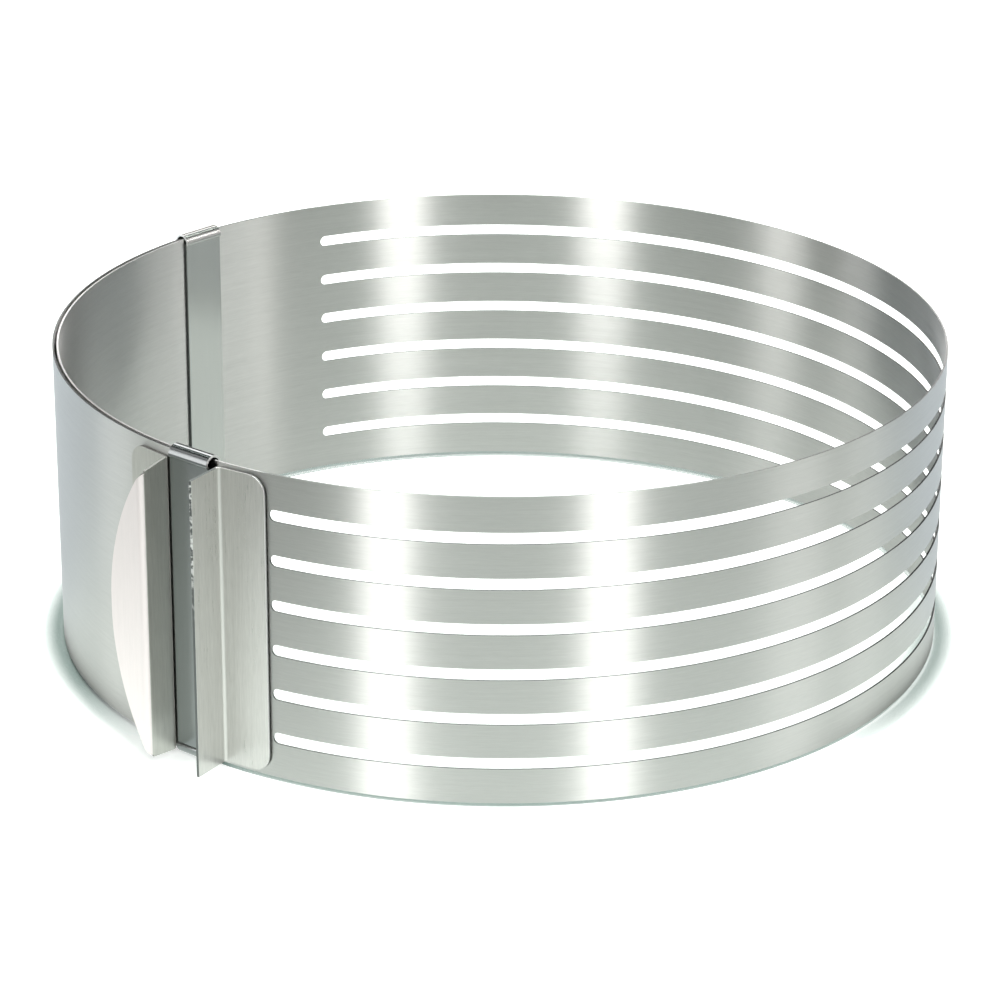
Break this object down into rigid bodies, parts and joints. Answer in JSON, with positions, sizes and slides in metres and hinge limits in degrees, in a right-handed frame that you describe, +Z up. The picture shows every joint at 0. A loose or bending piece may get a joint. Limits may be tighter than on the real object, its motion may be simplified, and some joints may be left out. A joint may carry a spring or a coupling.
{
  "type": "adjustable cake slicing ring",
  "caption": "Adjustable cake slicing ring: thin steel strip with knife slots, rolled round, its plain ends sliding past each other in sleeves, with squeeze handles.",
  "frame": {"origin": "centre of the overall box at rest, on the plane that the ring stands on; the ring's axis passes through x = 1.3 mm, y = 5.8 mm", "axes": "+Z up along the ring's axis, -Y through the handles, +X to the right seen from the handles"},
  "size_m": [0.2498, 0.2598, 0.0874],
  "materials": {
    "band_steel": "fine brushing round the strip",
    "sleeve_steel": "fine upright brushing",
    "handle_steel": "fine upright brushing"
  },
  "bodies": {
    "front_band": {"front_band_base": "band_steel", "front_rail_1": "band_steel", "front_rail_2": "band_steel", "front_rail_3": "band_steel", "front_rail_4": "band_steel", "front_rail_5": "band_steel", "front_rail_6": "band_steel", "front_rail_7": "band_steel", "stop_handle": "handle_steel"},
    "rear_band": {"rear_band_base": "band_steel", "rear_rail_1": "band_steel", "rear_rail_2": "band_steel", "rear_rail_3": "band_steel", "rear_rail_4": "band_steel", "rear_rail_5": "band_steel", "rear_rail_6": "band_steel", "rear_rail_7": "band_steel"},
    "inner_panel_1": {"inner_tail_1": "band_steel"},
    "inner_panel_2": {"inner_tail_2": "band_steel"},
    "inner_panel_3": {"inner_tail_3": "band_steel"},
    "inner_end": {"inner_tail_4": "band_steel", "inner_end_sleeve": "sleeve_steel"},
    "outer_panel_1": {"outer_tail_1": "band_steel"},
    "outer_panel_2": {"outer_tail_2": "band_steel"},
    "outer_panel_3": {"outer_tail_3": "band_steel"},
    "outer_end": {"outer_tail_4": "band_steel", "outer_end_sleeve": "sleeve_steel", "pull_handle": "handle_steel"}
  },
  "joints": [
    {"name": "ring_opening", "type": "hinge", "parent": "front_band", "child": "rear_band", "pos_m": [0.09224, 0.08952, 0.0437], "axis": [0, 0, -1], "range_deg": [0, 27.1]},
    {"name": "inner_flex_1", "type": "hinge", "parent": "front_band", "child": "inner_panel_1", "pos_m": [0.0102, -0.11686, 0.0437], "axis": [0, 0, 1], "range_deg": [0, 13]},
    {"name": "inner_flex_2", "type": "hinge", "parent": "inner_panel_1", "child": "inner_panel_2", "pos_m": [-0.04277, -0.10902, 0.0437], "axis": [0, 0, 1], "range_deg": [0, 3.9]},
    {"name": "inner_flex_3", "type": "hinge", "parent": "inner_panel_2", "child": "inner_panel_3", "pos_m": [-0.08738, -0.07941, 0.0437], "axis": [0, 0, 1], "range_deg": [0, 3.9]},
    {"name": "inner_flex_4", "type": "hinge", "parent": "inner_panel_3", "child": "inner_end", "pos_m": [-0.11519, -0.03366, 0.0437], "axis": [0, 0, 1], "range_deg": [0, 3.9]},
    {"name": "outer_flex_1", "type": "hinge", "parent": "rear_band", "child": "outer_panel_1", "pos_m": [-0.1214, 0.02501, 0.0437], "axis": [0, 0, -1], "range_deg": [0, 13]},
    {"name": "outer_flex_2", "type": "hinge", "parent": "outer_panel_1", "child": "outer_panel_2", "pos_m": [-0.11793, -0.02894, 0.0437], "axis": [0, 0, -1], "range_deg": [0, 3.9]},
    {"name": "outer_flex_3", "type": "hinge", "parent": "outer_panel_2", "child": "outer_panel_3", "pos_m": [-0.09187, -0.07631, 0.0437], "axis": [0, 0, -1], "range_deg": [0, 3.9]},
    {"name": "outer_flex_4", "type": "hinge", "parent": "outer_panel_3", "child": "outer_end", "pos_m": [-0.04815, -0.10811, 0.0437], "axis": [0, 0, -1], "range_deg": [0, 3.9]}
  ],
  "couplings": [
    {"joint": "inner_flex_1", "follows": "ring_opening", "ratio": 0.47746},
    {"joint": "inner_flex_2", "follows": "ring_opening", "ratio": 0.14029},
    {"joint": "inner_flex_3", "follows": "ring_opening", "ratio": 0.14029},
    {"joint": "inner_flex_4", "follows": "ring_opening", "ratio": 0.14029},
    {"joint": "outer_flex_1", "follows": "ring_opening", "ratio": 0.47746},
    {"joint": "outer_flex_2", "follows": "ring_opening", "ratio": 0.14029},
    {"joint": "outer_flex_3", "follows": "ring_opening", "ratio": 0.14029},
    {"joint": "outer_flex_4", "follows": "ring_opening", "ratio": 0.14029}
  ]
}
